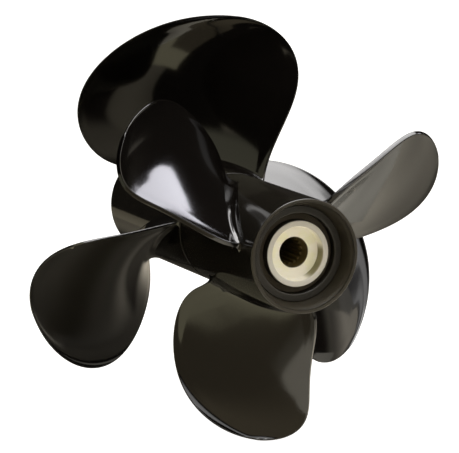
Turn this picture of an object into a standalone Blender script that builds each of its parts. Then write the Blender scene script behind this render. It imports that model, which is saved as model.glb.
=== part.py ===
"""Twin counter-rotating propeller set for a boat's stern drive.

Two three-bladed propellers sit one behind the other on a pair of shafts that share one axis.
The rear one is right-handed and the front one is larger and left-handed.

The shaft runs along Y. The boat is towards +Y and the open aft end faces -Y, with +Z up.
The origin is on the shaft axis, level with the front face of the front hub.
"Station" below is the distance ahead of the aft rim, and angles go anticlockwise as seen from aft.
"""

import math

import bmesh
import bpy
import numpy as np

# Hub, shared by both propellers
HUB_LENGTH = 0.354
HUB_AFT_RADIUS = 0.051
HUB_FRONT_RADIUS = 0.055
HUB_WALL = 0.005
HUB_GAP = 0.005
REAR_HUB_LENGTH = 0.160
RIM_CHAMFER = 0.0010
FIT_GAP = 0.0003

# Aft recess, where the shaft nut goes
RECESS_DEPTH = 0.016
RECESS_MOUTH_RADIUS = 0.0468
RECESS_FLOOR_RADIUS = 0.043
RECESS_SEAT_LENGTH = 0.008

# Core tube, rubber bush and splined sleeve
CORE_OUTER_RADIUS = 0.0400
CORE_WALL = 0.0040
CORE_FLANGE_THICKNESS = 0.006
CORE_END_INSET = 0.006
BUSH_END_INSET = 0.007
SLEEVE_RADIUS = 0.0296
SLEEVE_AFT_INSET = 0.015
SLEEVE_FRONT_INSET = 0.002
SLEEVE_CHAMFER = 0.0010
SLEEVE_CUP_RADIUS = 0.0240
SLEEVE_CUP_DEPTH = 0.009
REAR_BORE_RADIUS = 0.0129
FRONT_BORE_RADIUS = 0.0200
SPLINE_TEETH = 16
SPLINE_DEPTH = 0.0016
SPLINE_LEAD_IN = 0.010

# Webs between core and barrel
WEB_COUNT = 3
WEB_THICKNESS = 0.006

# Blades
BLADE_COUNT = 3
ROOT_REFERENCE_RADIUS = 0.050
ROOT_THICKNESS = 0.0125
TIP_THICKNESS = 0.0042
LEADING_EDGE_THICKNESS = 0.0022
TRAILING_EDGE_THICKNESS = 0.0040
CAMBER_SHARE = 0.03

# Each row gives the root, one third out, two thirds out and the tip.
REAR_BLADE = {
    "hand": 1,
    "first_angle": math.radians(143.6),
    "tip_radius": 0.1793,
    "station": 0.0744,
    "pitch": (0.622, 0.742, 0.759, 0.592),
    "rake": (0.0000, 0.0016, 0.0008, 0.0126),
    "skew": (0.0000, -0.0117, -0.0111, 0.0006),
    "half_chord": (0.0234, 0.0528, 0.0801, 0.1434),
    "leading_fullness": 1.25,
    "trailing_fullness": 1.2,
}
FRONT_BLADE = {
    "hand": -1,
    "first_angle": math.radians(91.0),
    "tip_radius": 0.1991,
    "station": 0.2601,
    "pitch": (0.816, 0.805, 0.783, 0.506),
    "rake": (0.0000, 0.0189, 0.0266, 0.0384),
    "skew": (0.0000, -0.0111, 0.0023, 0.0303),
    "half_chord": (0.0365, 0.0772, 0.1181, 0.1699),
    "leading_fullness": 4.4,
    "trailing_fullness": 1.2,
}

# How finely the round and curved shapes are cut
HUB_SEGMENTS = 72
BUSH_SEGMENTS = 48
SPLINE_SEGMENTS = 6 * SPLINE_TEETH
BLADE_ROWS = 15
BLADE_COLUMNS = 20
ROOT_ROWS = 3

PAINT = ("black_paint", (0.012, 0.012, 0.013, 1.0), 0.25, 0.0)
RUBBER = ("bush_rubber", (0.020, 0.019, 0.018, 1.0), 0.80, 0.0)
SLEEVE = ("sleeve_acetal", (0.720, 0.680, 0.520, 1.0), 0.40, 0.0)


def clear_scene():
    """Removes whatever the file opened with."""
    for obj in list(bpy.data.objects):
        bpy.data.objects.remove(obj, do_unlink=True)


def material(finish):
    """One Principled material from a (name, colour, roughness, metallic) row."""
    name, colour, roughness, metallic = finish
    made = bpy.data.materials.get(name) or bpy.data.materials.new(name)
    made.use_nodes = True
    made.diffuse_color = colour
    shader = made.node_tree.nodes["Principled BSDF"]
    shader.inputs["Base Color"].default_value = colour
    shader.inputs["Roughness"].default_value = roughness
    shader.inputs["Metallic"].default_value = metallic
    return made


def hub_radius(station):
    """Outside radius of the hub, which widens evenly towards the boat."""
    share = np.asarray(station) / HUB_LENGTH
    return HUB_AFT_RADIUS + (HUB_FRONT_RADIUS - HUB_AFT_RADIUS) * share


def place(radius, angle, station):
    """World points from cylinder coordinates about the shaft."""
    across = radius * np.cos(angle)
    up = radius * np.sin(angle)
    return np.stack([across, station - HUB_LENGTH + 0 * across, up], axis=-1)


def mesh_from(name, points, faces):
    """A mesh with its normals outward and its sharp corners kept."""
    mesh = bpy.data.meshes.new(name)
    mesh.from_pydata(points.tolist(), [], [list(map(int, face)) for face in faces])
    mesh.update()
    make_outward(mesh)
    mesh.shade_smooth()
    mesh.set_sharp_from_angle(angle=math.radians(35))
    return mesh


def add_object(name, mesh, parent, finish):
    """Puts a mesh in the scene under its propeller's empty."""
    obj = bpy.data.objects.new(name, mesh)
    bpy.context.collection.objects.link(obj)
    obj.parent = parent
    if not mesh.materials:
        mesh.materials.append(material(finish))
    return obj


def add_axis_empty(name):
    """The empty that carries one propeller, on the shaft axis."""
    empty = bpy.data.objects.new(name, None)
    empty.empty_display_size = 0.1
    bpy.context.collection.objects.link(empty)
    return empty


def grid_faces(rows, columns, wrap_rows, wrap_columns):
    """Quads over a grid of points, numbered row by row."""
    row = np.arange(rows if wrap_rows else rows - 1)[:, None]
    column = np.arange(columns if wrap_columns else columns - 1)[None, :]
    next_row = (row + 1) % rows
    next_column = (column + 1) % columns
    corners = [
        row * columns + column,
        row * columns + next_column,
        next_row * columns + next_column,
        next_row * columns + column,
    ]
    return np.stack([c + 0 * (row + column) for c in corners], axis=-1).reshape(-1, 4)


def turned(name, profile, segments, splined=()):
    """A closed profile of (station, radius) turned about the shaft.

    The profile runs forward along the outside and back along the bore.
    Profile points listed in splined stand in by the spline depth on every other half tooth.
    """
    angle = np.arange(segments) * 2 * math.pi / segments
    station = np.array([p[0] for p in profile])[:, None]
    radius = np.array([p[1] for p in profile])[:, None] + 0 * angle
    tooth = (np.arange(segments) * SPLINE_TEETH * 2 // segments) % 2
    for index in splined:
        radius[index] -= SPLINE_DEPTH * tooth
    points = place(radius, angle[None, :], station + 0 * radius)
    faces = grid_faces(len(profile), segments, True, True)
    return mesh_from(name, points.reshape(-1, 3), faces)


def rear_barrel():
    """Outer shell of the rear hub, with the flared recess at its aft end."""
    seat_end = RECESS_DEPTH + RECESS_SEAT_LENGTH
    inside = HUB_AFT_RADIUS - HUB_WALL
    profile = [
        (0.0, HUB_AFT_RADIUS - RIM_CHAMFER),
        (RIM_CHAMFER, float(hub_radius(RIM_CHAMFER))),
        (REAR_HUB_LENGTH, float(hub_radius(REAR_HUB_LENGTH))),
        (REAR_HUB_LENGTH, inside),
        (seat_end + (inside - RECESS_FLOOR_RADIUS), inside),
        (seat_end, RECESS_FLOOR_RADIUS),
        (RECESS_DEPTH, RECESS_FLOOR_RADIUS),
        (RIM_CHAMFER, RECESS_MOUTH_RADIUS),
        (0.0, RECESS_MOUTH_RADIUS + RIM_CHAMFER),
    ]
    return turned("rear_barrel", profile, HUB_SEGMENTS)


def front_barrel():
    """Outer shell of the front hub, open at both ends."""
    start = REAR_HUB_LENGTH + HUB_GAP
    end = HUB_LENGTH
    inside = HUB_AFT_RADIUS - HUB_WALL
    profile = [
        (start, float(hub_radius(start))),
        (end - RIM_CHAMFER, float(hub_radius(end))),
        (end, float(hub_radius(end)) - RIM_CHAMFER),
        (end, HUB_FRONT_RADIUS - HUB_WALL),
        (start, inside),
    ]
    return turned("front_barrel", profile, HUB_SEGMENTS)


def rear_core():
    """Inner tube of the rear hub, with the flange that closes the recess floor."""
    start = RECESS_DEPTH
    end = REAR_HUB_LENGTH - CORE_END_INSET
    flange = start + CORE_FLANGE_THICKNESS
    profile = [
        (start, RECESS_FLOOR_RADIUS - FIT_GAP),
        (flange, RECESS_FLOOR_RADIUS - FIT_GAP),
        (flange, CORE_OUTER_RADIUS),
        (end, CORE_OUTER_RADIUS),
        (end, CORE_OUTER_RADIUS - CORE_WALL),
        (start, CORE_OUTER_RADIUS - CORE_WALL),
    ]
    return turned("rear_core", profile, HUB_SEGMENTS)


def front_core():
    """Inner tube of the front hub."""
    start = REAR_HUB_LENGTH + HUB_GAP + CORE_END_INSET
    end = HUB_LENGTH - CORE_END_INSET
    profile = [
        (start, CORE_OUTER_RADIUS),
        (end, CORE_OUTER_RADIUS),
        (end, CORE_OUTER_RADIUS - CORE_WALL),
        (start, CORE_OUTER_RADIUS - CORE_WALL),
    ]
    return turned("front_core", profile, HUB_SEGMENTS)


def rubber_bush(name, start, end):
    """Rubber ring between a core tube and its sleeve."""
    outer = CORE_OUTER_RADIUS - CORE_WALL - FIT_GAP
    inner = SLEEVE_RADIUS + FIT_GAP
    profile = [(start, outer), (end, outer), (end, inner), (start, inner)]
    return turned(name, profile, BUSH_SEGMENTS)


def rear_sleeve():
    """Splined sleeve of the rear propeller, with the cup that takes the nut's washer."""
    start = SLEEVE_AFT_INSET
    end = REAR_HUB_LENGTH + (HUB_GAP - FIT_GAP) / 2
    cup = start + SLEEVE_CUP_DEPTH
    spline = cup + SPLINE_LEAD_IN
    profile = [
        (start, SLEEVE_RADIUS - SLEEVE_CHAMFER),
        (start + SLEEVE_CHAMFER, SLEEVE_RADIUS),
        (end, SLEEVE_RADIUS),
        (end, REAR_BORE_RADIUS),
        (spline, REAR_BORE_RADIUS),
        (spline - SPLINE_DEPTH, REAR_BORE_RADIUS),
        (cup, REAR_BORE_RADIUS),
        (cup, SLEEVE_CUP_RADIUS),
        (start + SLEEVE_CHAMFER, SLEEVE_CUP_RADIUS),
        (start, SLEEVE_CUP_RADIUS + SLEEVE_CHAMFER),
    ]
    return turned("rear_spline_sleeve", profile, SPLINE_SEGMENTS, splined=(3, 4))


def front_sleeve():
    """Splined sleeve of the front propeller, bored for the larger outer shaft."""
    start = REAR_HUB_LENGTH + (HUB_GAP + FIT_GAP) / 2
    end = HUB_LENGTH - SLEEVE_FRONT_INSET
    spline = end - SPLINE_LEAD_IN
    profile = [
        (start, SLEEVE_RADIUS),
        (end - SLEEVE_CHAMFER, SLEEVE_RADIUS),
        (end, SLEEVE_RADIUS - SLEEVE_CHAMFER),
        (end, FRONT_BORE_RADIUS),
        (spline + SPLINE_DEPTH, FRONT_BORE_RADIUS),
        (spline, FRONT_BORE_RADIUS),
        (start, FRONT_BORE_RADIUS),
    ]
    return turned("front_spline_sleeve", profile, SPLINE_SEGMENTS, splined=(5, 6))


def web(name, start, end):
    """One rib from the core tube out to the barrel, centred on angle zero."""
    rows = 3
    inner = CORE_OUTER_RADIUS + FIT_GAP
    outer = HUB_AFT_RADIUS - HUB_WALL - FIT_GAP
    outer_end = outer
    if end > REAR_HUB_LENGTH:
        slope = (HUB_FRONT_RADIUS - HUB_AFT_RADIUS) / (HUB_LENGTH - REAR_HUB_LENGTH - HUB_GAP)
        outer_end = outer + slope * (end - REAR_HUB_LENGTH - HUB_GAP)
    side = np.linspace(-0.5, 0.5, rows)
    corners = []
    for station, top in ((start, outer), (end, outer_end)):
        low = place(inner, side * WEB_THICKNESS / inner, station)
        high = place(top, side[::-1] * WEB_THICKNESS / top, station)
        corners.append(np.concatenate([low, high]))
    around = 2 * rows
    faces = grid_faces(2, around, False, True).tolist()
    faces.append(list(range(around)))
    faces.append(list(range(around, 2 * around)))
    return mesh_from(name, np.concatenate(corners), faces)


def along_blade(values, reach):
    """A smooth curve through values given at the root, one third, two thirds and the tip."""
    fit = np.polyfit([0, 1 / 3, 2 / 3, 1], values, 3)
    return np.polyval(fit, reach)


def blade_reach(blade, radius):
    """How far out a radius lies on a blade: 0 at the root reference, 1 at the tip."""
    reach = (radius - ROOT_REFERENCE_RADIUS) / (blade["tip_radius"] - ROOT_REFERENCE_RADIUS)
    return np.clip(reach, 0, 1)


def edge_distance(blade, reach, edge):
    """Arc from the blade's middle line to its leading or trailing edge."""
    taper = np.sqrt(1 - reach ** blade[edge + "_fullness"])
    return along_blade(blade["half_chord"], reach) * taper


def blade_middle(blade, radius, chord_share):
    """(angle, station) of the middle surface: chord_share goes from -1, leading, to 1, trailing."""
    reach = blade_reach(blade, radius)
    leading = edge_distance(blade, reach, "leading")
    trailing = edge_distance(blade, reach, "trailing")
    across = chord_share * np.where(chord_share < 0, leading, trailing)
    turn = (along_blade(blade["skew"], reach) + across) / radius
    pitch = along_blade(blade["pitch"], reach)
    angle = blade["first_angle"] + blade["hand"] * turn
    station = blade["station"] - pitch / (2 * math.pi) * turn - along_blade(blade["rake"], reach)
    return angle, station


def blade_normals(blade, radius, chord_share):
    """Unit normals of the screw surface, pointing aft, as (radial, round, ahead) parts."""
    step = 1e-4
    inner_angle, inner_station = blade_middle(blade, radius - step, chord_share)
    angle, station = blade_middle(blade, radius, chord_share)
    reach = blade_reach(blade, radius)
    climb = -along_blade(blade["pitch"], reach) * blade["hand"] / (2 * math.pi)
    lean = (station - inner_station - climb * (angle - inner_angle)) / step
    normal = np.stack([lean, climb / radius, -1 + 0 * lean], axis=-1)
    return normal / np.linalg.norm(normal, axis=-1, keepdims=True)


def blade_thickness(reach, chord_share):
    """Full thickness: thick at the root, thin at the tip, with a blunt trailing edge."""
    middle = ROOT_THICKNESS + (TIP_THICKNESS - ROOT_THICKNESS) * np.sqrt(reach)
    toward_trailing = (chord_share + 1) / 2
    edge = LEADING_EDGE_THICKNESS
    edge = edge + (TRAILING_EDGE_THICKNESS - LEADING_EDGE_THICKNESS) * toward_trailing
    return edge + (middle - edge) * (1 - chord_share**2) ** 0.8


def blade_mesh(name, blade):
    """One blade as a closed solid whose root face follows the round hub."""
    columns = BLADE_COLUMNS + 1
    share = -np.cos(np.linspace(0, math.pi, columns))[None, :]
    root_radius = np.full_like(share, hub_radius(blade["station"]))
    for _ in range(4):
        root_station = blade_middle(blade, root_radius, share)[1]
        root_radius = hub_radius(root_station) + FIT_GAP
    out = np.sin(np.linspace(0, math.pi / 2, BLADE_ROWS + 1))[:-1, None]
    out = np.append(out, [[0.9985]], axis=0)
    radius = root_radius + (blade["tip_radius"] - root_radius) * out
    angle, station = blade_middle(blade, radius, share)
    reach = blade_reach(blade, radius)
    normal = blade_normals(blade, radius, share)
    half = blade_thickness(reach, share) / 2
    chord = edge_distance(blade, reach, "leading") + edge_distance(blade, reach, "trailing")
    bulge = -CAMBER_SHARE * chord * (1 - share**2)
    sides = []
    for offset in (bulge + half, bulge - half):
        side_radius = radius + offset * normal[..., 0]
        side_angle = angle + offset * normal[..., 1] / radius
        side_station = station + offset * normal[..., 2]
        side_radius[0] = hub_radius(side_station[0]) + FIT_GAP
        sides.append((side_radius, side_angle, side_station))
    return closed_blade(name, sides)


def closed_blade(name, sides):
    """Joins the aft and forward sides of a blade round its edge, tip and root."""
    aft = place(*sides[0])
    forward = place(*sides[1])
    rows, columns = aft.shape[:2]
    shares = np.linspace(0, 1, ROOT_ROWS + 2)[1:-1, None]
    root_angle = sides[0][1][0] + (sides[1][1][0] - sides[0][1][0]) * shares
    root_station = sides[0][2][0] + (sides[1][2][0] - sides[0][2][0]) * shares
    root = place(hub_radius(root_station) + FIT_GAP, root_angle, root_station)
    loop = np.concatenate([forward[::-1], root[::-1], aft])
    faces = grid_faces(len(loop), columns, False, False).tolist()
    last_row = (len(loop) - 1) * columns
    for side in (0, columns - 1):
        faces += edge_faces(side, rows, columns, len(loop), ROOT_ROWS)
    tip = [[i, i + 1, last_row + i + 1, last_row + i] for i in range(columns - 1)]
    faces += tip
    return mesh_from(name, loop.reshape(-1, 3), faces)


def edge_faces(side, rows, columns, loop_rows, root_rows):
    """The narrow strip down one edge of a blade, then across the end of its root face."""
    faces = []
    for i in range(rows - 1):
        low = i * columns + side
        high = (loop_rows - 1 - i) * columns + side
        faces.append([low, low + columns, high - columns, high])
    row = rows - 1
    faces.append([(row + i) * columns + side for i in range(root_rows + 2)])
    return faces


def make_outward(mesh):
    """Turns every face of a closed mesh outward."""
    shape = bmesh.new()
    shape.from_mesh(mesh)
    bmesh.ops.recalc_face_normals(shape, faces=shape.faces)
    shape.to_mesh(mesh)
    shape.free()


def build_propeller(prefix, blade, barrel, core, sleeve, bush_span, web_span):
    """All the pieces of one propeller, under an empty on the shaft axis."""
    carrier = add_axis_empty(prefix + "_propeller_axis")
    add_object(prefix + "_barrel", barrel, carrier, PAINT)
    add_object(prefix + "_core", core, carrier, PAINT)
    add_object(prefix + "_spline_sleeve", sleeve, carrier, SLEEVE)
    bush = rubber_bush(prefix + "_rubber_bush", *bush_span)
    add_object(prefix + "_rubber_bush", bush, carrier, RUBBER)
    web_shape = web(prefix + "_web", *web_span)
    for number in range(WEB_COUNT):
        rib = add_object(f"{prefix}_web_{number + 1}", web_shape, carrier, PAINT)
        turn = blade["first_angle"] + 2 * math.pi * number / WEB_COUNT
        rib.rotation_euler = (0, -turn, 0)
    blade_shape = blade_mesh(prefix + "_blade", blade)
    for number in range(BLADE_COUNT):
        wing = add_object(f"{prefix}_blade_{number + 1}", blade_shape, carrier, PAINT)
        wing.rotation_euler = (0, -2 * math.pi * number / BLADE_COUNT, 0)


def main():
    clear_scene()
    rear_end = REAR_HUB_LENGTH - BUSH_END_INSET
    front_start = REAR_HUB_LENGTH + HUB_GAP + BUSH_END_INSET
    build_propeller(
        "rear",
        REAR_BLADE,
        rear_barrel(),
        rear_core(),
        rear_sleeve(),
        (RECESS_DEPTH + BUSH_END_INSET, rear_end),
        (RECESS_DEPTH + RECESS_SEAT_LENGTH + HUB_WALL, rear_end),
    )
    build_propeller(
        "front",
        FRONT_BLADE,
        front_barrel(),
        front_core(),
        front_sleeve(),
        (front_start, HUB_LENGTH - BUSH_END_INSET),
        (front_start, HUB_LENGTH - 2 * CORE_END_INSET),
    )


if __name__ == "__main__":
    main()
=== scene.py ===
"""Looks of a twin counter-rotating propeller set, built round its packed CAD frame.

The shaft runs along Y, the boat is towards +Y and the open aft end faces -Y, with +Z up.
"Station" is the distance ahead of the aft rim, and angles go anticlockwise as seen from aft.
"""

import math

import bmesh
import bpy
import numpy as np
from bpy.props import FloatProperty, FloatVectorProperty, IntProperty, PointerProperty
from mathutils import Matrix, Vector


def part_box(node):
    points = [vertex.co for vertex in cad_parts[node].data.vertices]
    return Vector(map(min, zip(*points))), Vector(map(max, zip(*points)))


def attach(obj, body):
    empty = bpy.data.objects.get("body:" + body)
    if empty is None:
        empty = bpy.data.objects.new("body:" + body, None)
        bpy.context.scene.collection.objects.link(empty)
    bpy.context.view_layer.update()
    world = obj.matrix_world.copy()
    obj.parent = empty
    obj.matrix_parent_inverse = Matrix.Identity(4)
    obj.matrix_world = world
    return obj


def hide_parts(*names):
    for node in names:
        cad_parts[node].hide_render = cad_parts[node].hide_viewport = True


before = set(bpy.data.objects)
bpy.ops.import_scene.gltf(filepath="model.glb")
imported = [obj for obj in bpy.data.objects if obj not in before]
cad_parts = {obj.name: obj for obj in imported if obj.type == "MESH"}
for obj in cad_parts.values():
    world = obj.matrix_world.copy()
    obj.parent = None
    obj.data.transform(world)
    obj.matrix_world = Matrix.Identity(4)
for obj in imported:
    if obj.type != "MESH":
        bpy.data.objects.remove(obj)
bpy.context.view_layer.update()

bl_info = {
    "name": "Twin Propeller Set",
    "version": (1, 0, 0),
    "blender": (4, 5, 0),
    "location": "View3D > Sidebar > Propellers",
    "description": "Builds the finished surfaces and the studio of a twin propeller set",
    "category": "Object",
}

PHOTO_WIDTH = 459
TURNED_SEGMENTS = 256

BLADE_COUNT = 3
BLADE_ROOT_RADIUS = 0.050
LENS_FULLNESS = 0.8
LENS_RAMP = 0.012

LOW_AFT, HIGH_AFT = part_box("rear_barrel")
LOW_FRONT, HIGH_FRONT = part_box("front_barrel")
HUB_LENGTH = float(HIGH_FRONT[1] - LOW_AFT[1])
REAR_HUB_LENGTH = float(HIGH_AFT[1] - LOW_AFT[1])
FRONT_HUB_START = float(LOW_FRONT[1] - LOW_AFT[1])
HUB_FRONT_RADIUS = float(HIGH_FRONT[0])
HUB_AFT_RADIUS = 0.051
HALF_GAP = 0.00015
GAP_ROUNDING = 0.0004

MOUTH_RADIUS = 0.0478
FLARE_STATION = 0.0035
FLARE_RADIUS = 0.0460
LEDGE_LENGTH = 0.008
UNDERCUT = 0.003

CORE_RADIUS = 0.040
CORE_BORE = 0.036
CORE_INSET = 0.006
FLANGE_END = 0.022

SLEEVE_START = 0.015
SLEEVE_INSET = 0.002
CUP_STATION = 0.024
CUP_RADIUS = 0.0237
CUP_MOUTH_RADIUS = 0.0246
BORE_RADIUS = 0.0129
BORE_MOUTH_RADIUS = 0.0138
BORE_STATION = 0.036
FRONT_BORE_RADIUS = 0.020
FRONT_SPLINE_INSET = 0.010

BUSH_RADIUS = 0.0357
BUSH_BORE = 0.0299

REAR_BLADE = {
    "first_angle": 143.6,
    "tip_radius": 0.1793,
    "station": 0.0744,
    "pitch": (0.622, 0.742, 0.759, 0.592),
    "rake": (0.0000, 0.0016, 0.0008, 0.0126),
    "skew": (0.0000, -0.0117, -0.0111, 0.0006),
    "half_chord": (0.0234, 0.0528, 0.0801, 0.1434),
    "leading_fullness": 1.25,
    "trailing_fullness": 1.2,
    "leading_fillet": 0.013,
    "face_fillet": 0.009,
    "trailing_edge": 0.0048,
}
FRONT_BLADE = {
    "first_angle": 91.0,
    "tip_radius": 0.1991,
    "station": 0.2601,
    "pitch": (0.816, 0.805, 0.783, 0.506),
    "rake": (0.0000, 0.0189, 0.0266, 0.0384),
    "skew": (0.0000, -0.0111, 0.0023, 0.0303),
    "half_chord": (0.0365, 0.0772, 0.1181, 0.1699),
    "leading_fullness": 4.4,
    "trailing_fullness": 1.2,
    "leading_fillet": 0.003,
    "face_fillet": 0.013,
    "trailing_edge": 0.0026,
}


def metres(name, description, default):
    """The property of a size in metres."""
    return FloatProperty(name=name, description=description, default=default, unit="LENGTH")


def degrees(name, description, default):
    """The property of an angle, whose default is given in degrees."""
    default = math.radians(default)
    return FloatProperty(name=name, description=description, default=default, subtype="ANGLE")


def swatch(name, description, default):
    """The property of a colour that the user can pick."""
    return FloatVectorProperty(
        name=name, description=description, size=3, default=default, subtype="COLOR"
    )


def group_of(name, kind):
    """The property that holds a group, described by the group's docstring."""
    return PointerProperty(type=kind, name=name, description=kind.__doc__)


def blade_properties(values):
    """The sizes of one blade, each as a property with its default."""
    lengths = {
        "tip_radius": "Radius of the circle that the tips describe",
        "station": "Distance of the blade's middle ahead of the aft rim",
        "leading_fillet": "Fillet radius where the leading edge meets the hub",
        "face_fillet": "Fillet radius where a blade's faces meet the hub",
        "trailing_edge": "Thickness at the blunt trailing edge",
    }
    curves = {
        "pitch": "Advance in one turn",
        "rake": "Distance that the blade leans aft",
        "skew": "Arc by which the middle line trails",
        "half_chord": "Arc from the middle line to an edge",
    }
    fullnesses = {
        "leading_fullness": "How full the tip is on the leading side",
        "trailing_fullness": "How full the tip is on the trailing side",
    }

    def title(key):
        return key.replace("_", " ").title()

    text = "Angle of the first blade about the shaft"
    found = {"first_angle": degrees("First Angle", text, values["first_angle"])}
    for key, text in lengths.items():
        found[key] = metres(title(key), text, values[key])
    for key, text in curves.items():
        found[key] = FloatVectorProperty(
            name=title(key),
            description=text + ", at the root, one third, two thirds and the tip",
            size=4,
            default=values[key],
            unit="LENGTH",
        )
    for key, text in fullnesses.items():
        found[key] = FloatProperty(name=title(key), description=text, default=values[key])
    return found


class RearBladeSizes(bpy.types.PropertyGroup):
    """Outline of the right-handed rear blades."""

    __annotations__ = blade_properties(REAR_BLADE)


class FrontBladeSizes(bpy.types.PropertyGroup):
    """Outline of the left-handed front blades."""

    __annotations__ = blade_properties(FRONT_BLADE)


class BladeSection(bpy.types.PropertyGroup):
    """Thickness and edges, which both propellers share."""

    root_thickness: metres("Root Thickness", "Thickness of the blade at the hub", 0.0125)
    tip_thickness: metres("Tip Thickness", "Thickness of the blade near its tip", 0.0042)
    leading_edge: metres("Leading Edge", "Thickness at the leading edge", 0.0022)
    camber: FloatProperty(
        name="Camber",
        description="Depth of the hollow face as a share of the chord",
        default=0.03,
        subtype="FACTOR",
    )
    trailing_fillet: metres(
        "Trailing Fillet", "Fillet radius where a trailing edge meets the hub", 0.004
    )


class HubSizes(bpy.types.PropertyGroup):
    """Shells, cores and sleeves of the two hubs."""

    wall: metres("Wall", "Wall of the outer shells", 0.005)
    rim_rounding: metres("Rim Rounding", "Rounding of the shells' rims", 0.0012)
    recess_depth: metres("Recess Depth", "Depth of the flared recess at the aft end", 0.016)
    recess_floor: metres("Recess Floor Radius", "Radius where the flare meets its ledge", 0.043)
    sleeve_radius: metres("Sleeve Radius", "Outside radius of the cream sleeves", 0.0296)
    spline_teeth: IntProperty(
        name="Spline Teeth", description="Number of spline teeth in a bore", default=16
    )


class FinishColours(bpy.types.PropertyGroup):
    """Colours of the paint, the sleeves and the rubber."""

    paint: swatch("Paint", "Gloss enamel on the castings", (0.0021, 0.0017, 0.0014))
    sleeve: swatch("Sleeve", "Moulded sleeve", (0.93, 0.90, 0.80))
    rubber: swatch("Rubber", "Rubber bush", (0.0340, 0.0270, 0.0165))


class StudioSizes(bpy.types.PropertyGroup):
    """Floor, lights and camera."""

    floor_size: metres("Floor Size", "Side of the floor", 60.0)
    floor_drop: metres("Floor Drop", "Distance of the floor below the shaft", 0.55)
    camera_azimuth: degrees(
        "Camera Azimuth", "Turn of the camera about the vertical, from dead astern", -22.78
    )
    camera_elevation: degrees("Camera Elevation", "Height angle of the camera", 9.25)
    camera_offset: FloatVectorProperty(
        name="Camera Offset",
        description="Camera place from the aft rim's centre: to its right, up and back",
        size=3,
        default=(-0.06607, 0.02629, 1.7118),
        unit="LENGTH",
    )
    focal_pixels: FloatProperty(
        name="Focal Length in Pixels",
        description="Focal length measured in pixels of the photograph",
        default=1964.5,
    )


class PropellerSettings(bpy.types.PropertyGroup):
    """All settings of the twin propeller set."""

    rear_blade: group_of("Rear Blades", RearBladeSizes)
    front_blade: group_of("Front Blades", FrontBladeSizes)
    section: group_of("Section", BladeSection)
    hub: group_of("Hub", HubSizes)
    colours: group_of("Colours", FinishColours)
    studio: group_of("Studio", StudioSizes)


# Shapes


def hub_radius(station):
    """Outside radius of the hub: a straight taper from the aft rim to the front face."""
    return HUB_AFT_RADIUS + (HUB_FRONT_RADIUS - HUB_AFT_RADIUS) * station / HUB_LENGTH


def place(radius, angle, station):
    """World points from cylinder coordinates about the shaft."""
    radius, angle, station = np.broadcast_arrays(radius, angle, station)
    return np.stack(
        [radius * np.cos(angle), station - HUB_LENGTH, radius * np.sin(angle)], axis=-1
    )


def quads(rows, columns, closed=False):
    """Corner numbers of the quads over a grid of points, numbered row by row.

    Each row runs round and meets itself. On a closed grid the last row meets the first.
    """
    row, column = np.meshgrid(np.arange(rows - (not closed)), np.arange(columns), indexing="ij")
    row_on = (row + 1) % rows
    column_on = (column + 1) % columns
    corners = [
        row * columns + column,
        row * columns + column_on,
        row_on * columns + column_on,
        row_on * columns + column,
    ]
    return np.stack(corners, axis=-1).reshape(-1, 4)


def add_piece(node, points, faces, finish):
    """Makes a smooth piece from arrays, facing outward, that replaces one CAD node.

    The node's name begins with the propeller that it rides, rear or front.
    """
    name = node + "_skin"
    body = node.split("_")[0] + "_propeller"
    mesh = bpy.data.meshes.new(name)
    mesh.from_pydata(points.reshape(-1, 3).tolist(), [], [f.tolist() for f in faces])
    shape = bmesh.new()
    shape.from_mesh(mesh)
    bmesh.ops.recalc_face_normals(shape, faces=shape.faces)
    shape.to_mesh(mesh)
    shape.free()
    mesh.shade_smooth()
    mesh.materials.append(finish)
    obj = bpy.data.objects.new(name, mesh)
    bpy.context.collection.objects.link(obj)
    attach(obj, body)
    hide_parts(node)


def rounded(corners, steps=7, support=1.3):
    """A closed profile whose corners are rounded.

    Each corner is (station, radius, rounding). It becomes a parabola arc of so many steps
    whose ends lie one rounding along its two sides, with one more point just past each end.
    """
    corners = np.asarray(corners, float)
    middle = corners[:, None, :2]
    size = corners[:, None, 2:]
    before = np.roll(middle, 1, axis=0) - middle
    after = np.roll(middle, -1, axis=0) - middle
    before = before / np.linalg.norm(before, axis=-1, keepdims=True) * size
    after = after / np.linalg.norm(after, axis=-1, keepdims=True) * size
    t = np.linspace(0, 1, steps)[None, :, None]
    arc = middle + (1 - t) ** 2 * before + t**2 * after
    ends = [middle + support * before, arc, middle + support * after]
    return np.concatenate(ends, axis=1).reshape(-1, 2)


def turned(profile, depth=None):
    """Points and quads of a closed profile of (station, radius) turned about the shaft.

    depth is a function of the profile and the angles, and is taken off the radius.
    """
    angle = np.arange(TURNED_SEGMENTS) * 2 * np.pi / TURNED_SEGMENTS
    radius = profile[:, 1:]
    if depth:
        radius = radius - depth(profile, angle)
    points = place(radius, angle[None, :], profile[:, :1])
    return points, quads(len(profile), TURNED_SEGMENTS, closed=True)


def smooth_step(value, low, high):
    """Zero below low, one above high, and an even S curve between."""
    t = np.clip((value - low) / (high - low), 0, 1)
    return t * t * (3 - 2 * t)


def blend(first, second, share):
    """The first value at share 0, the second at share 1, and a straight line between."""
    return first + (second - first) * share


def along(values, reach):
    """The cubic through values at the root, one third, two thirds and the tip."""
    return np.polyval(np.polyfit([0, 1 / 3, 2 / 3, 1], np.array(values), 3), reach)


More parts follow.
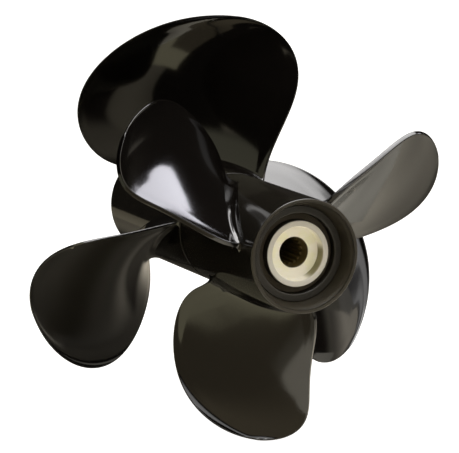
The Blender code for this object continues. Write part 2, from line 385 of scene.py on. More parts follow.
class Blade:
    """Formulas of one blade, with the measures of its property group."""

    def __init__(self, sizes, section, hand, ends):
        self.sizes = sizes
        self.section = section
        self.hand = hand
        self.ends = ends

    def reach(self, radius):
        """0 at the root reference radius, 1 at the tip."""
        span = self.sizes.tip_radius - BLADE_ROOT_RADIUS
        return np.clip((radius - BLADE_ROOT_RADIUS) / span, 0, 1)

    def edge_arcs(self, radius):
        """Arcs from the middle line to the leading and the trailing edge.

        Each is the half chord times the root of one less the reach to the power of a fullness.
        """
        reach = self.reach(radius)
        half = along(self.sizes.half_chord, reach)
        leading = half * np.sqrt(1 - reach**self.sizes.leading_fullness)
        trailing = half * np.sqrt(1 - reach**self.sizes.trailing_fullness)
        return leading, trailing

    def turn(self, radius, share):
        """Angle past the middle of the root; share runs from -1, leading, to 1, trailing."""
        leading, trailing = self.edge_arcs(radius)
        across = share * np.where(share < 0, leading, trailing)
        return (along(self.sizes.skew, self.reach(radius)) + across) / radius

    def middle(self, radius, share):
        """(angle, station) of the middle surface, a screw of varying pitch that leans aft."""
        reach = self.reach(radius)
        turn = self.turn(radius, share)
        advance = along(self.sizes.pitch, reach) / (2 * np.pi)
        angle = self.sizes.first_angle + self.hand * turn
        return angle, self.sizes.station - advance * turn - along(self.sizes.rake, reach)

    def normal(self, radius, share):
        """Unit normal of the middle surface towards aft, as (radial, round, ahead) parts.

        They go as the station's gain for a metre outward, its gain for a metre round, and -1.
        """
        step = 1e-4
        inner_angle, inner_station = self.middle(radius - step, share)
        angle, station = self.middle(radius, share)
        climb = -along(self.sizes.pitch, self.reach(radius)) * self.hand / (2 * np.pi)
        lean = (station - inner_station - climb * (angle - inner_angle)) / step
        normal = np.stack([lean, climb / radius, -np.ones_like(lean)], axis=-1)
        return normal / np.linalg.norm(normal, axis=-1, keepdims=True)

    def to_outline(self, radius, share, samples=260, below_root=0.01):
        """Distance to the blade's edge on its rolled-out surface.

        A point rolls out to its turn times the length of one radian along the screw, and its
        radius. The distance is to the outline's tangent at the nearest of the samples on it,
        which start a little below the root.
        """

        def rolled(r, s):
            advance = along(self.sizes.pitch, self.reach(r)) / (2 * np.pi)
            return self.turn(r, s) * np.hypot(r, advance)

        tip = self.sizes.tip_radius
        span = tip - BLADE_ROOT_RADIUS + below_root
        rim = tip - span * (1 - np.sin(np.linspace(0, np.pi / 2, samples)))
        rim = np.concatenate([rim, rim])
        side = np.repeat([-1.0, 1.0], samples)
        outline = np.stack([rolled(rim, side), rim], axis=-1)
        tangent = np.concatenate([np.gradient(part, axis=0) for part in np.split(outline, 2)])
        tangent /= np.linalg.norm(tangent, axis=-1, keepdims=True)
        here = np.stack([rolled(radius, share), radius], axis=-1)
        nearest = ((here[..., None, :] - outline) ** 2).sum(axis=-1).argmin(axis=-1)
        gap = here - outline[nearest]
        return np.abs(gap[..., 0] * tangent[nearest, 1] - gap[..., 1] * tangent[nearest, 0])

    def half_thickness(self, radius, share):
        """Half the section: a lens on top of a rounded leading and a blunt trailing edge.

        An edge is half an ellipse whose power grows from 2, leading, to 6, trailing. The lens
        is one less the share squared, to the power of its fullness, and fades at the outline.
        """
        section = self.section
        reach = self.reach(radius)
        depth = self.to_outline(radius, share)
        thick = blend(section.root_thickness, section.tip_thickness, np.sqrt(reach))
        trailing = smooth_step(share, -0.6, 0.6)
        edge = blend(section.leading_edge, self.sizes.trailing_edge, trailing)
        inward = np.clip(depth / (0.5 * edge), 0, 1)
        power = blend(2, 6, trailing)
        nose = (1 - (1 - inward) ** power) ** (1 / power)
        lens = (1 - share**2) ** LENS_FULLNESS * smooth_step(depth, 0, LENS_RAMP)
        return edge / 2 * nose + (thick - edge) / 2 * lens

    def skin(self, radius, share, side):
        """(radius, angle, station) of the blade's face on one side, 1 aft and -1 forward.

        Along the normal, the middle surface moves forward by the camber times the chord times
        one less the share squared, and each face stands half the thickness off it.
        """
        angle, station = self.middle(radius, share)
        normal = self.normal(radius, share)
        leading, trailing = self.edge_arcs(radius)
        bulge = -self.section.camber * (leading + trailing) * (1 - share**2)
        offset = bulge + side * self.half_thickness(radius, share)
        return (
            radius + offset * normal[..., 0],
            angle + offset * normal[..., 1] / radius,
            station + offset * normal[..., 2],
        )


def softly_below(value, limit, softness=0.0008):
    """The smaller of the two, with a rounded change from one to the other.

    It is the limit, less the softness times the log of 1 + e ** ((limit - value) / softness).
    """
    return limit - softness * np.logaddexp(0, (limit - value) / softness)


def between_ends(ends, radius, angle, station, margin=0.001):
    """Keeps a blade's root between the ends of its hub.

    The limits start a margin inside the two ends and lean out at 45 degrees as the blade rises.
    """
    height = radius - hub_radius(station)
    station = softly_below(station, ends[1] - margin + height)
    station = -softly_below(-station, -(ends[0] + margin - height))
    return radius, angle, station


def blade_surface(blade, columns=96, rows=90, fillet_rows=12, tries=6, sink=0.0001, depth=0.0015):
    """A closed blade with a fillet onto the hub.

    Columns go round the section from the leading edge, and rows go out to the tip, where they
    close in one point. In the fillet rows the section grows outward along a quarter circle
    until it is tangent to the hub. The first of them lies a sink below the hub's surface, and
    one more row, a depth below that, closes the root.
    """
    round_section = np.arange(2 * columns) * np.pi / columns
    share = -np.cos(round_section)[None, :]
    side = np.where(round_section < np.pi, 1.0, -1.0)[None, :]
    sizes = blade.sizes
    trailing = smooth_step(share, -0.95, 0.6)
    edge = blend(sizes.leading_fillet, blade.section.trailing_fillet, trailing)
    fillet = blend(edge, sizes.face_fillet, (1 - share**2) ** 0.5)

    def at_height(height):
        radius = np.full_like(share, hub_radius(sizes.station)) + height
        for _ in range(tries):
            found = blade.skin(radius, share, side)
            radius = radius + hub_radius(found[2]) + height - found[0]
        return blade.skin(radius, share, side), radius

    bend = np.linspace(0, np.pi / 2, fillet_rows)[:, None]
    low = [at_height(h[None, :] * fillet)[0] for h in (1 - np.cos(bend))]
    radius, angle, station = (np.concatenate(parts) for parts in zip(*low))
    arc = radius * angle
    along_arc = np.roll(arc, -1, 1) - np.roll(arc, 1, 1)
    along_shaft = np.roll(station, -1, 1) - np.roll(station, 1, 1)
    length = np.hypot(along_arc, along_shaft)
    grow = fillet * (1 - np.sin(bend))
    sense = -blade.hand
    arc = arc - sense * grow * along_shaft / length
    station = station + sense * grow * along_arc / length
    height = fillet * (1 - np.cos(bend))
    height[0] -= sink
    root = between_ends(blade.ends, hub_radius(station) + height, arc / radius, station)
    under = tuple(part[:1] + change for part, change in zip(root, (-depth, 0, 0)))
    start = at_height(fillet)[1]
    out = np.sin(np.linspace(0, np.pi / 2, rows + 1))[1:-1, None]
    out_radius = blend(start, sizes.tip_radius, out)
    body = between_ends(blade.ends, *blade.skin(out_radius, share + 0 * out, side + 0 * out))
    grid = np.concatenate([place(*part) for part in (under, root, body)])
    tip_radius = np.array([sizes.tip_radius])
    tip = place(tip_radius, *blade.middle(tip_radius, np.zeros(1)))
    points = np.concatenate([grid.reshape(-1, 3), tip])
    around = 2 * columns
    faces = list(quads(len(grid), around))
    last = (len(grid) - 1) * around
    ring = np.arange(around)
    faces += list(
        np.stack([last + ring, last + (ring + 1) % around, np.full(around, len(points) - 1)], 1)
    )
    near = np.arange(1, columns - 1)
    faces += list(np.stack([near, near + 1, around - near - 1, around - near], 1))
    faces += [np.array([0, 1, around - 1]), np.array([columns - 1, columns, columns + 1])]
    return points, faces


def turned_round(points, turn):
    """Points turned about the shaft, anticlockwise as seen from aft."""
    c, s = math.cos(turn), math.sin(turn)
    return points @ np.array([[c, 0, s], [0, 1, 0], [-s, 0, c]])


# Finishes

BLACK = (0.0, 0.0, 0.0, 1.0)


class Number:
    """A shader value that takes part in plain arithmetic."""

    def __init__(self, finish, socket):
        self.finish = finish
        self.socket = socket

    def _with(self, operation, first, second):
        return self.finish.number("ShaderNodeMath", {"operation": operation}, {0: first, 1: second})

    def __add__(self, other):
        return self._with("ADD", self, other)

    __radd__ = __add__

    def __sub__(self, other):
        return self._with("SUBTRACT", self, other)

    def __rsub__(self, other):
        return self._with("SUBTRACT", other, self)

    def __mul__(self, other):
        return self._with("MULTIPLY", self, other)

    __rmul__ = __mul__

    def __truediv__(self, other):
        return self._with("DIVIDE", self, other)

    def __rtruediv__(self, other):
        return self._with("DIVIDE", other, self)

    def __pow__(self, other):
        return self._with("POWER", self, other)

    def __rpow__(self, other):
        return self._with("POWER", other, self)


class NodeTree:
    """A node tree with short ways to add and link nodes."""

    def __init__(self, tree):
        self.tree = tree

    def node(self, kind, settings=None, sockets=None):
        """Adds a node: its settings first, then the values or links of its sockets."""
        node = self.tree.nodes.new(kind)
        for key, value in (settings or {}).items():
            setattr(node, key, value)
        for key, value in (sockets or {}).items():
            self.feed(node.inputs[key], value)
        return node

    def number(self, kind, settings=None, sockets=None, output=0):
        """Adds a node and wraps one of its outputs."""
        return Number(self, self.node(kind, settings, sockets).outputs[output])

    def parts(self, vector):
        """The three numbers of a vector."""
        node = self.node("ShaderNodeSeparateXYZ", {}, {0: vector})
        return [Number(self, output) for output in node.outputs]

    def feed(self, socket, value):
        """Links a value into a socket, or sets it there."""
        if isinstance(value, Number):
            self.tree.links.new(value.socket, socket)
        elif value is not None:
            socket.default_value = value

    def mask(self, value, low, high):
        """A soft step from 0 at low to 1 at high."""
        settings = {"interpolation_type": "SMOOTHSTEP"}
        return self.number("ShaderNodeMapRange", settings, {0: value, 1: low, 2: high})

    def mix(self, factor, first, second):
        """One colour blended into another."""
        return self.number(
            "ShaderNodeMix", {"data_type": "RGBA"}, {0: factor, 6: first, 7: second}, output=2
        )


class Finish(NodeTree):
    """One material and its nodes."""

    def __init__(self, name):
        self.material = bpy.data.materials.new(name)
        self.material.use_nodes = True
        super().__init__(self.material.node_tree)
        self.shader = self.tree.nodes["Principled BSDF"]

    def set(self, **values):
        """Sets the shader's own sockets, such as base_color."""
        for key, value in values.items():
            self.feed(self.shader.inputs[key.replace("_", " ").title()], value)

    def place(self):
        """Object coordinates."""
        return self.number("ShaderNodeTexCoord", output=3)

    def radius(self):
        """Distance from the shaft."""
        x, _, z = self.parts(self.place())
        return (x * x + z * z) ** 0.5

    def noise(self, scale, detail, roughness):
        """Cloudy noise between 0 and 1, with a scale per metre."""
        sockets = {"Scale": scale, "Detail": detail, "Roughness": roughness}
        return self.number("ShaderNodeTexNoise", {}, {"Vector": self.place(), **sockets})

    def bump(self, height, strength, distance):
        """A bump from a height."""
        sockets = {"Height": height, "Strength": strength, "Distance": distance}
        return self.number("ShaderNodeBump", {}, sockets)


def rgba(colour, factor=1.0):
    """Four numbers from three, scaled."""
    return (*(min(1.0, c * factor) for c in colour), 1.0)


def gloss_paint(hub=False):
    """Black enamel: slightly uneven gloss, faint orange peel and a trace of settled dust.

    On the hubs it is a little browner, and on their rims and inside them it is dull.
    """
    finish = Finish("gloss_black_hub_enamel" if hub else "gloss_black_enamel")
    colour = bpy.context.scene.propellers.colours.paint
    dust = (0.03, 0.028, 0.024, 1.0)
    cloud = finish.noise(9.0, 4.0, 0.55)
    tint = finish.mix(finish.mask(cloud, 0.35, 0.7), rgba(colour, 0.85), rgba(colour, 1.25))
    peel = finish.noise(420.0, 2.0, 0.5)
    wave = finish.noise(38.0, 2.0, 0.4)
    speck = finish.mask(finish.noise(1400.0, 1.0, 0.5), 0.74, 0.8)
    tint = finish.mix(speck * 0.2, tint, dust)
    roughness = 0.075 + cloud * 0.03 + speck * 0.15
    if hub:
        brown = (0.0078, 0.0068, 0.0051, 1.0)
        dull_brown = (0.0165, 0.0130, 0.0065, 1.0)
        dull = finish.mask(finish.radius(), HUB_AFT_RADIUS - 0.0001, HUB_AFT_RADIUS - 0.0005)
        tint = finish.mix(dull, finish.mix(0.8, tint, brown), dull_brown)
        roughness = roughness + dull * 0.36
    finish.set(
        base_color=tint,
        roughness=roughness,
        normal=finish.bump(peel * 0.2 + wave, 0.08, 0.0005),
    )
    finish.shader.inputs["IOR"].default_value = 1.5
    return finish.material


def recess_paint():
    """The same enamel inside the hub, duller and with a brown cast."""
    finish = Finish("recess_black_enamel")
    dark_brown = (0.0095, 0.0080, 0.0048, 1.0)
    brown = (0.0130, 0.0100, 0.0062, 1.0)
    cloud = finish.noise(25.0, 4.0, 0.6)
    finish.set(
        base_color=finish.mix(finish.mask(cloud, 0.4, 0.65), dark_brown, brown),
        roughness=0.40 + cloud * 0.12,
        normal=finish.bump(finish.noise(600.0, 3.0, 0.6), 0.25, 0.0005),
    )
    return finish.material


def sleeve_resin():
    """Cream moulded resin, yellower in clouds, with fine scuffs and a greyer outer rim.

    The cup's wall has painted olive shade low on the right, the outside has painted shade in
    the groove along the rubber bush, and the splined bore is dark brown.
    """
    finish = Finish("cream_sleeve")
    settings = bpy.context.scene.propellers
    colour = settings.colours.sleeve
    yellow = (colour[0] * 0.97, colour[1] * 0.98, colour[2] * 0.84, 1.0)
    grey = (0.60, 0.58, 0.53, 1.0)
    olive = (0.16, 0.14, 0.045, 1.0)
    painted_groove_shade = (0.02, 0.018, 0.012, 1.0)
    dark_bore_brown = (0.095, 0.07, 0.022, 1.0)
    to_right, to_top = 0.906, -0.423
    cloud = finish.noise(60.0, 4.0, 0.6)
    resin = finish.mix(finish.mask(cloud, 0.45, 0.65), rgba(colour), yellow)
    radius = finish.radius()
    x, y, z = finish.parts(finish.place())
    station = y + HUB_LENGTH
    rim = finish.mask(radius, CUP_MOUTH_RADIUS - 0.0003, CUP_MOUTH_RADIUS + 0.0003)
    resin = finish.mix(rim, resin, grey)
    # Painted shade: olive on the cup's wall, low on the right side, where the wall lies in shadow.
    shaded_low_right = finish.mask((x * to_right + z * to_top) / radius, 0.68, 0.92)
    wall = finish.mask(radius, CUP_RADIUS - 0.0009, CUP_RADIUS - 0.0003) * (1 - rim)
    resin = finish.mix(wall * shaded_low_right * 0.92, resin, olive)
    skin = settings.hub.sleeve_radius
    # Painted shade: the sleeve's outside is dark where it runs into the groove along the rubber
    # bush.
    outside = finish.mask(radius, skin - 0.0005, skin - 0.0001)
    outside = outside * finish.mask(station, SLEEVE_START + 0.0002, SLEEVE_START + 0.0008)
    resin = finish.mix(outside, resin, painted_groove_shade)
    # The splined bore, from the cup's floor inward, is dark brown.
    bore = finish.mask(radius, BORE_MOUTH_RADIUS + 0.0008, BORE_MOUTH_RADIUS)
    bore = bore * finish.mask(station, CUP_STATION, CUP_STATION + 0.001)
    scuff = finish.noise(900.0, 2.0, 0.7)
    finish.set(
        base_color=finish.mix(bore, resin, dark_bore_brown),
        roughness=0.36 + scuff * 0.18,
        normal=finish.bump(finish.noise(1500.0, 2.0, 0.5), 0.15, 0.0003),
    )
    finish.set(
        subsurface_weight=0.08, subsurface_radius=(1.0, 0.8, 0.5), subsurface_scale=0.0015
    )
    return finish.material


def bush_rubber():
    """Matte black rubber with a fine grain."""
    finish = Finish("matte_bush_rubber")
    colour = bpy.context.scene.propellers.colours.rubber
    grain = finish.noise(1800.0, 4.0, 0.7)
    finish.set(
        base_color=finish.mix(finish.mask(grain, 0.4, 0.7), rgba(colour), rgba(colour, 1.8)),
        roughness=0.68 + grain * 0.2,
        normal=finish.bump(grain, 0.3, 0.0004),
    )
    return finish.material


def without_gloss(finish, base, light, strength):
    """Sets a finish without gloss: its own colour, and the light that it gives."""
    finish.set(base_color=base, roughness=1.0, emission_color=light, emission_strength=strength)
    finish.shader.inputs["Specular IOR Level"].default_value = 0.0
    return finish.material


def floor_paint():
    """Plain white floor that glows a little, so that it stays an even white."""
    finish = Finish("white_floor")
    finish.set(
        base_color=(0.5, 0.5, 0.5, 1.0),
        roughness=1.0,
        emission_color=(1.0, 1.0, 1.0, 1.0),
        emission_strength=1.1,
    )
    return finish.material


def table_paper():
    """Matte paper that the object reflects, in light and dark stretches.

    Front is the camera's side here. The paper is light in front, dim on the right and behind,
    and glows on the left of the aft end. Each stretch covers the ones before it, by a share
    that comes from steps across and ahead.
    """
    finish = Finish("warm_table_paper")
    x, y, _ = finish.parts(finish.place())

    def across(low, high):
        return finish.mask(x, low, high)

    def ahead(low, high):
        return finish.mask(y, low, high)

    left = across(-0.06, -0.16)
    beyond = across(-0.22, -0.245)
    # The dim stretches are painted shadow: they darken the paper where the object's shadow falls on
    # it.
    stretches = {
        "right": (across(0.02, 0.22), (0.095, 0.088, 0.072)),
        "behind": (ahead(-0.07, 0.03) * across(0.14, 0.06) * 0.75, (0.03, 0.027, 0.02)),
        "far right": (ahead(0.13, 0.50) * across(0.15, 0.30), (0.52, 0.48, 0.40)),
        "shade": (
            ahead(0.06, 0.12) * across(0.24, 0.19) * across(-0.12, -0.04) * 0.85,
            (0.01, 0.009, 0.007),
        ),
        "left": (left, (0.32, 0.295, 0.235)),
        "left front": (left * ahead(-0.02, -0.08), (0.04, 0.035, 0.03)),
        "far left": (ahead(0.15, 0.45) * across(0.10, -0.10) * 0.3, (0.02, 0.019, 0.016)),
        "front": (ahead(-0.09, -0.15) * (1 - left), (0.54, 0.505, 0.42)),
        "front right": (
            ahead(-0.11, -0.19) * across(0.08, 0.16) * across(0.42, 0.27),
            (0.84, 0.785, 0.65),
        ),
        "near left": (ahead(-0.20, -0.32) * across(0.05, -0.08), (0.95, 0.90, 0.76)),
        "beyond": (beyond, (0.40, 0.37, 0.29)),
    }
    paper = (0.44, 0.41, 0.34, 1.0)
    for share, colour in stretches.values():
        paper = finish.mix(share, paper, rgba(colour))
    patch = ahead(-0.22, -0.32) * ahead(-0.46, -0.42) * across(0.02, -0.10) * (1 - beyond)
    glow = finish.mix(patch, BLACK, (0.80, 0.75, 0.62, 1.0))
    return without_gloss(finish, paper, glow, 0.6)


def card_cloth(name, colour, strength, fade=None):
    """Light, or none, from a studio card.

    fade is (axis, start, end, share): between the two places the light falls to that share.
    """
    finish = Finish(name)
    light = (*colour, 1.0)
    if fade:
        axis, start, end, share = fade
        far = finish.mask(finish.parts(finish.place())[axis], start, end)
        light = finish.mix(far, light, rgba(colour, share))
    return without_gloss(finish, BLACK, light, strength)


def overhead_cloth():
    """Light of the overhead softbox: a hot round middle in a dim surround.

    A round spot by the middle's edge is almost dark, and so is the surround on the right, but
    for a strip along its aft edge.
    """
    finish = Finish("overhead_softbox")
    x, y, _ = finish.parts(finish.place())

    def distance(middle_x, middle_y):
        across, ahead = x - middle_x, y - middle_y
        return (across * across + ahead * ahead) ** 0.5

    near = distance(0.1, -0.2)
    hot = finish.mask(near, 0.68, 0.54) * (0.50 + 0.31 * finish.mask(near, 0.60, 0.10))
    hot = hot * (1 - 0.95 * finish.mask(distance(0.24, 0.13), 0.19, 0.13))
    dim_side = finish.mask(y, -1.08, -0.90) * finish.mask(x, -0.02, 0.12)
    surround = finish.mask(distance(0.2, -0.3), 1.05, 0.85) * 0.21 * (1 - 0.85 * dim_side)
    light = finish.mix(surround + hot, BLACK, (1.0, 0.985, 0.98, 1.0))
    return without_gloss(finish, BLACK, light, 13.0)


def finish_of(name, maker):
    """A finish by its name, made once."""
    return bpy.data.materials.get(name) or maker()


# Pieces


def add_blades(prefix, hand, ends):
    """Three blades of the rear or the front propeller, each replacing its CAD node."""
    settings = bpy.context.scene.propellers
    blade = Blade(getattr(settings, prefix + "_blade"), settings.section, hand, ends)
    points, faces = blade_surface(blade)
    finish = finish_of("gloss_black_enamel", gloss_paint)
    for number in range(BLADE_COUNT):
        turn = 2 * math.pi * number / BLADE_COUNT
        node = f"{prefix}_blade_{number + 1}"
        add_piece(node, turned_round(points, turn), faces, finish)


def add_turned(node, corners, finish, depth=None):
    """A turned piece with rounded corners."""
    points, faces = turned(rounded(corners), depth)
    add_piece(node, points, faces, finish)


class PROPELLERS_OT_rear_blades(bpy.types.Operator):
    """Builds the three right-handed rear blades with their root fillets"""

    bl_idname = "propellers.rear_blades"
    bl_label = "Rear Blades"

    def execute(self, context):
        add_blades("rear", 1, (0.0, REAR_HUB_LENGTH))
        return {"FINISHED"}


class PROPELLERS_OT_front_blades(bpy.types.Operator):
    """Builds the three left-handed front blades with their root fillets"""

    bl_idname = "propellers.front_blades"
    bl_label = "Front Blades"

    def execute(self, context):
        add_blades("front", -1, (FRONT_HUB_START, HUB_LENGTH))
        return {"FINISHED"}


class PROPELLERS_OT_hub_shells(bpy.types.Operator):
    """Builds the outer shells of both hubs"""

    bl_idname = "propellers.hub_shells"
    bl_label = "Hub Shells"

    def execute(self, context):
        hub = context.scene.propellers.hub
        finish = gloss_paint(hub=True)
        rim = hub.rim_rounding
        inside = HUB_AFT_RADIUS - hub.wall
        ledge_end = hub.recess_depth + LEDGE_LENGTH
        rear = [
            (0.0, HUB_AFT_RADIUS, rim),
            (REAR_HUB_LENGTH, hub_radius(REAR_HUB_LENGTH), GAP_ROUNDING),
            (REAR_HUB_LENGTH, inside, GAP_ROUNDING),
            (ledge_end + UNDERCUT, inside, 0.0005),
            (ledge_end, hub.recess_floor, 0.0005),
            (hub.recess_depth, hub.recess_floor, 0.0012),
            (FLARE_STATION, FLARE_RADIUS, 0.0030),
            (0.0, MOUTH_RADIUS, 0.0008),
        ]
        add_turned("rear_barrel", rear, finish)
        front = [
            (FRONT_HUB_START, hub_radius(FRONT_HUB_START), GAP_ROUNDING),
            (HUB_LENGTH, HUB_FRONT_RADIUS, rim),
            (HUB_LENGTH, HUB_FRONT_RADIUS - hub.wall, rim),
            (FRONT_HUB_START, inside, rim),
        ]
        add_turned("front_barrel", front, finish)
        return {"FINISHED"}


class PROPELLERS_OT_cores(bpy.types.Operator):
    """Builds the core tubes inside both hubs"""

    bl_idname = "propellers.cores"
    bl_label = "Core Tubes"

    def execute(self, context):
        hub = context.scene.propellers.hub
        finish = finish_of("recess_black_enamel", recess_paint)
        rim = 0.001
        flange = hub.recess_floor - 0.0003
        rear = [
            (hub.recess_depth, flange, 0.0006),
            (FLANGE_END, flange, 0.0006),
            (FLANGE_END, CORE_RADIUS, rim),
            (REAR_HUB_LENGTH - CORE_INSET, CORE_RADIUS, rim),
            (REAR_HUB_LENGTH - CORE_INSET, CORE_BORE, rim),
            (hub.recess_depth, CORE_BORE, 0.0015),
        ]
        add_turned("rear_core", rear, finish)
        front = [
            (FRONT_HUB_START + CORE_INSET, CORE_RADIUS, rim),
            (HUB_LENGTH - CORE_INSET, CORE_RADIUS, rim),
            (HUB_LENGTH - CORE_INSET, CORE_BORE, rim),
            (FRONT_HUB_START + CORE_INSET, CORE_BORE, rim),
        ]
        add_turned("front_core", front, finish)
        return {"FINISHED"}


def splines(first, last, teeth, height=0.0016, outermost=0.0205, squareness=2.2):
    """Depth of spline teeth inside a radius and between two stations: a rounded square wave.

    The wave is tanh(squareness * sine of the teeth's angle), brought between 0 and 1.
    """

    def depth(profile, angle):
        wave = np.tanh(squareness * np.sin(teeth * angle)) / np.tanh(squareness)
        bored = (profile[:, 1] < outermost) & (profile[:, 0] >= first) & (profile[:, 0] <= last)
        return height * bored[:, None] * (0.5 + 0.5 * wave[None, :])

    return depth


class PROPELLERS_OT_sleeves(bpy.types.Operator):
    """Builds the splined sleeves in the middle of both hubs"""

    bl_idname = "propellers.sleeves"
    bl_label = "Splined Sleeves"

    def execute(self, context):
        hub = context.scene.propellers.hub
        finish = finish_of("cream_sleeve", sleeve_resin)
        radius = hub.sleeve_radius
        meeting = (REAR_HUB_LENGTH + FRONT_HUB_START) / 2
        rear = [
            (SLEEVE_START, radius, 0.0010),
            (meeting - HALF_GAP, radius, 0.0006),
            (meeting - HALF_GAP, BORE_RADIUS, 0.0006),
            (BORE_STATION, BORE_RADIUS, 0.0008),
            (CUP_STATION, BORE_MOUTH_RADIUS, 0.0010),
            (CUP_STATION, CUP_RADIUS, 0.0012),
            (SLEEVE_START, CUP_MOUTH_RADIUS, 0.0008),
        ]
        teeth = splines(BORE_STATION, meeting, hub.spline_teeth)
        add_turned("rear_spline_sleeve", rear, finish, teeth)
        end = HUB_LENGTH - SLEEVE_INSET
        front = [
            (meeting + HALF_GAP, radius, 0.0006),
            (end, radius, 0.0014),
            (end, FRONT_BORE_RADIUS, 0.0010),
            (end - FRONT_SPLINE_INSET, FRONT_BORE_RADIUS, 0.0008),
            (meeting + HALF_GAP, FRONT_BORE_RADIUS, 0.0006),
        ]
        teeth = splines(meeting, end - FRONT_SPLINE_INSET, hub.spline_teeth)
        add_turned("front_spline_sleeve", front, finish, teeth)
        return {"FINISHED"}


class PROPELLERS_OT_rear_bush(bpy.types.Operator):
    """Builds the rubber bush round the rear sleeve, with its face near the sleeve's"""

    bl_idname = "propellers.rear_bush"
    bl_label = "Rear Bush"

    def execute(self, context):
        low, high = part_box("rear_rubber_bush")
        start, end = (float(corner[1]) + HUB_LENGTH for corner in (low, high))
        corners = [
            (start, BUSH_RADIUS, 0.0008),
            (end, BUSH_RADIUS, 0.0006),
            (end, BUSH_BORE, 0.0006),
            (start, BUSH_BORE, 0.0008),
        ]
        rubber = finish_of("matte_bush_rubber", bush_rubber)
        add_turned("rear_rubber_bush", corners, rubber)
        return {"FINISHED"}


class PROPELLERS_OT_hidden_parts(bpy.types.Operator):
    """Gives the rubber bushes and the webs of the CAD model their finishes"""

    bl_idname = "propellers.hidden_parts"
    bl_label = "Bushes and Webs"

    def execute(self, context):
        rubber = finish_of("matte_bush_rubber", bush_rubber)
        paint = finish_of("recess_black_enamel", recess_paint)
        for name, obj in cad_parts.items():
            if "bush" in name or "web" in name:
                for slot in obj.material_slots:
                    slot.material = rubber if "bush" in name else paint
        return {"FINISHED"}


# Studio

# The cards' places, and their outlines: (y, z) of those that stand, (x, y) of the level ones.
RIGHT_X = 1.1
FRONT_RIGHT_X = 0.9
LEFT_X = -0.3
NEAR_LEFT_X = -0.155
SOFTBOX_HEIGHT = 1.0
TABLE_HEIGHT = -0.205
LOW_CARD_HEIGHT = -0.12
RIGHT_SOFTBOX = (
    (-0.50, 0.93), (-0.43, 0.92), (-0.40, 1.05), (-0.31, 1.03), (-0.28, 0.935),
    (-0.25, 0.885), (-0.19, 0.855), (-0.09, 0.865), (-0.04, 0.91), (0.07, 1.06),
    (0.09, 1.15), (0.00, 1.29), (-0.25, 1.39), (-0.35, 1.35), (-0.45, 1.22),
)
RIGHT_FILL = ((-0.90, 0.93), (0.0, 0.88), (0.10, 1.15), (0.10, 1.90), (-0.90, 1.90))
FRONT_RIGHT_CARD = (
    (-1.40, 0.45), (-0.66, 0.15), (-0.28, 0.00), (-0.28, 0.34), (-0.47, 0.46),
    (-0.67, 0.60), (-0.86, 0.76), (-1.10, 1.06), (-1.40, 1.10),
)
OVERHEAD_SOFTBOX = (
    (-1.10, -1.40), (0.72, -1.40), (0.72, 0.33), (0.25, 0.33), (0.22, 0.27),
    (0.10, 0.08), (-0.20, -0.15), (-0.35, -0.40), (-1.10, -0.50),
)
TABLE_CARD = ((-0.45, -0.75), (1.0, -0.75), (1.0, 1.2), (-0.45, 1.2))
LOW_CARD = ((0.20, -0.195), (0.62, -0.195), (0.62, 0.08), (0.20, 0.08))
BLACK_CARD = ((-0.15, 0.065), (-0.42, 0.065), (-0.90, 0.250), (-0.90, 0.42), (-0.15, 0.42))
SHARED_EDGE = ((-0.242, -0.031), (-0.267, -0.067), (-0.289, -0.105), (-0.300, -0.128))
OLIVE_CARD = ((-0.180, 0.060), (-0.228, 0.060), *SHARED_EDGE, (-0.180, -0.150))
BROWN_CARD = (
    (-0.228, 0.060), (-0.400, 0.060), (-0.520, 0.120), (-0.620, 0.120), (-0.620, -0.209),
    (-0.397, -0.209), (-0.360, -0.184), (-0.326, -0.152), *reversed(SHARED_EDGE),
)


def add_card(name, corners, finish):
    """A flat studio card with the given corners, which the camera doesn't see."""
    mesh = bpy.data.meshes.new(name)
    mesh.from_pydata(corners, [], [tuple(range(len(corners)))])
    mesh.materials.append(finish)
    card = bpy.data.objects.new(name, mesh)
    bpy.context.collection.objects.link(card)
    card.visible_camera = False
    return card


def reflected_only(card):
    """Keeps a card out of all but the reflections."""
    card.visible_diffuse = card.visible_shadow = False


def standing_card(name, x, outline, finish):
    """A card that stands across the width at x, with an outline of (y, z) points."""
    return add_card(name, [(x, y, z) for y, z in outline], finish)


def level_card(name, height, outline, finish):
    """A level card with an outline of (x, y) points."""
    return add_card(name, [(x, y, height) for x, y in outline], finish)


def add_world(scene):
    """A room that is white to the camera and uneven in reflections.

    A direction's share ahead runs from -1, dead astern, to 1, dead ahead. The aft half is
    light, most of all near dead astern on the right, and so is the left wall from abeam to a
    little ahead. All else is dark: the room's far side, and aft below the table.
    """
    world = bpy.data.worlds.new("studio_world")
    scene.world = world
    world.use_nodes = True
    room = NodeTree(world.node_tree)
    way = room.number("ShaderNodeTexCoord", output=0)
    x, y, z = room.parts(way)
    ahead = y / (x * x + y * y + 0.0001) ** 0.5
    left = room.mask(x, 0.02, -0.02)
    above = room.mask(z, -0.10, -0.03)
    stretches = {
        "aft left": (left * above * room.mask(ahead, 0.05, -0.05), (0.86, 0.77, 0.58)),
        "aft right": ((1 - left) * above * room.mask(ahead, -0.02, -0.20), (0.58, 0.54, 0.43)),
        "astern right": ((1 - left) * above * room.mask(ahead, -0.42, -0.54), (1.00, 0.95, 0.84)),
        "left wall": (
            left * room.mask(ahead, -0.035, 0.07) * room.mask(ahead, 0.65, 0.40),
            (0.65, 0.625, 0.45),
        ),
    }
    walls = (0.018, 0.016, 0.014, 1.0)
    for share, colour in stretches.values():
        walls = room.mix(share, walls, rgba(colour))
    camera = room.number("ShaderNodeLightPath", output=0)
    background = world.node_tree.nodes["Background"]
    room.feed(background.inputs["Color"], room.mix(camera, walls, (1.0, 1.0, 1.0, 1.0)))
    background.inputs["Strength"].default_value = 1.0


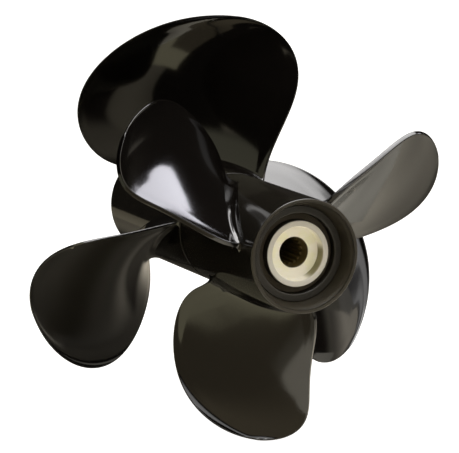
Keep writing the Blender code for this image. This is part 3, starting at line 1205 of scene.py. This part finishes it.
def add_camera(studio):
    """The camera at the photograph's angle, from the aft rim's centre."""
    azimuth = studio.camera_azimuth
    elevation = studio.camera_elevation
    back = Vector(
        (
            math.sin(azimuth) * math.cos(elevation),
            -math.cos(azimuth) * math.cos(elevation),
            math.sin(elevation),
        )
    )
    right = Vector((0, 0, 1)).cross(back).normalized()
    up = back.cross(right)
    across, above, distance = studio.camera_offset
    data = bpy.data.cameras.new("studio_camera")
    data.sensor_width = 36.0
    data.lens = studio.focal_pixels * data.sensor_width / PHOTO_WIDTH
    data.clip_end = 200.0
    camera = bpy.data.objects.new("studio_camera", data)
    turn = Matrix((right, up, back)).transposed()
    camera.rotation_euler = turn.to_euler()
    camera.location = Vector((0, -HUB_LENGTH, 0)) + right * across + up * above + back * distance
    bpy.context.collection.objects.link(camera)
    bpy.context.scene.camera = camera


class PROPELLERS_OT_studio(bpy.types.Operator):
    """Builds the pale floor, the soft lights and the camera"""

    bl_idname = "propellers.studio"
    bl_label = "Studio"

    def execute(self, context):
        studio = context.scene.propellers.studio
        add_camera(studio)
        half = studio.floor_size / 2
        outline = ((-half, -half), (half, -half), (half, half), (-half, half))
        floor = level_card("studio_floor", -studio.floor_drop, outline, floor_paint())
        floor.visible_camera = True
        floor.visible_glossy = floor.visible_diffuse = floor.visible_shadow = False
        white = (0.93, 0.92, 1.0)
        cloth = card_cloth("right_softbox", white, 11.5)
        softbox = standing_card("right_softbox", RIGHT_X, RIGHT_SOFTBOX, cloth)
        softbox.visible_diffuse = False
        cloth = card_cloth("right_fill", white, 11.5, fade=(2, 1.12, 1.36, 0.42))
        fill = standing_card("right_fill", RIGHT_X, RIGHT_FILL, cloth)
        fill.visible_glossy = False
        cloth = card_cloth("front_right_card", (1.0, 0.91, 0.76), 2.6, fade=(1, -0.66, -0.28, 0.17))
        reflected_only(standing_card("front_right_card", FRONT_RIGHT_X, FRONT_RIGHT_CARD, cloth))
        level_card("overhead_softbox", SOFTBOX_HEIGHT, OVERHEAD_SOFTBOX, overhead_cloth())
        level_card("table_card", TABLE_HEIGHT, TABLE_CARD, table_paper())
        cloth = card_cloth("low_card", (1.0, 0.95, 0.82), 1.05, fade=(1, -0.195, -0.11, 0.6))
        reflected_only(level_card("low_card", LOW_CARD_HEIGHT, LOW_CARD, cloth))
        cloth = card_cloth("black_card", (0.0, 0.0, 0.0), 0.0)
        standing_card("dark_card_left", LEFT_X, BLACK_CARD, cloth)
        cloth = card_cloth("olive_card", (1.0, 0.92, 0.61), 1.4)
        reflected_only(standing_card("olive_card", NEAR_LEFT_X, OLIVE_CARD, cloth))
        cloth = card_cloth("brown_card", (1.0, 0.84, 0.56), 0.66, fade=(1, -0.46, -0.34, 0.52))
        reflected_only(standing_card("brown_card", NEAR_LEFT_X, BROWN_CARD, cloth))
        add_world(context.scene)
        context.scene.view_settings.view_transform = "Standard"
        return {"FINISHED"}


class PROPELLERS_PT_sidebar(bpy.types.Panel):
    """Lists the builders and their sizes"""

    bl_label = "Twin Propeller Set"
    bl_idname = "PROPELLERS_PT_sidebar"
    bl_space_type = "VIEW_3D"
    bl_region_type = "UI"
    bl_category = "Propellers"

    def draw(self, context):
        layout = self.layout
        for operator in BUILDERS:
            layout.operator(operator.bl_idname)
        settings = context.scene.propellers
        blades = (settings.rear_blade, settings.front_blade, settings.section)
        for group in (*blades, settings.hub, settings.colours, settings.studio):
            box = layout.box()
            for key in group.bl_rna.properties.keys():
                if key not in ("rna_type", "name"):
                    box.prop(group, key)


GROUPS = (
    RearBladeSizes,
    FrontBladeSizes,
    BladeSection,
    HubSizes,
    FinishColours,
    StudioSizes,
    PropellerSettings,
)
BUILDERS = (
    PROPELLERS_OT_rear_blades,
    PROPELLERS_OT_front_blades,
    PROPELLERS_OT_hub_shells,
    PROPELLERS_OT_cores,
    PROPELLERS_OT_sleeves,
    PROPELLERS_OT_rear_bush,
    PROPELLERS_OT_hidden_parts,
    PROPELLERS_OT_studio,
)
CLASSES = GROUPS + BUILDERS + (PROPELLERS_PT_sidebar,)


def register():
    for cls in CLASSES:
        bpy.utils.register_class(cls)
    bpy.types.Scene.propellers = PointerProperty(type=PropellerSettings)


def unregister():
    del bpy.types.Scene.propellers
    for cls in reversed(CLASSES):
        bpy.utils.unregister_class(cls)


def main():
    register()
    for operator in BUILDERS:
        name = operator.bl_idname.split(".")[1]
        getattr(bpy.ops.propellers, name)()


if __name__ == "__main__":
    main()
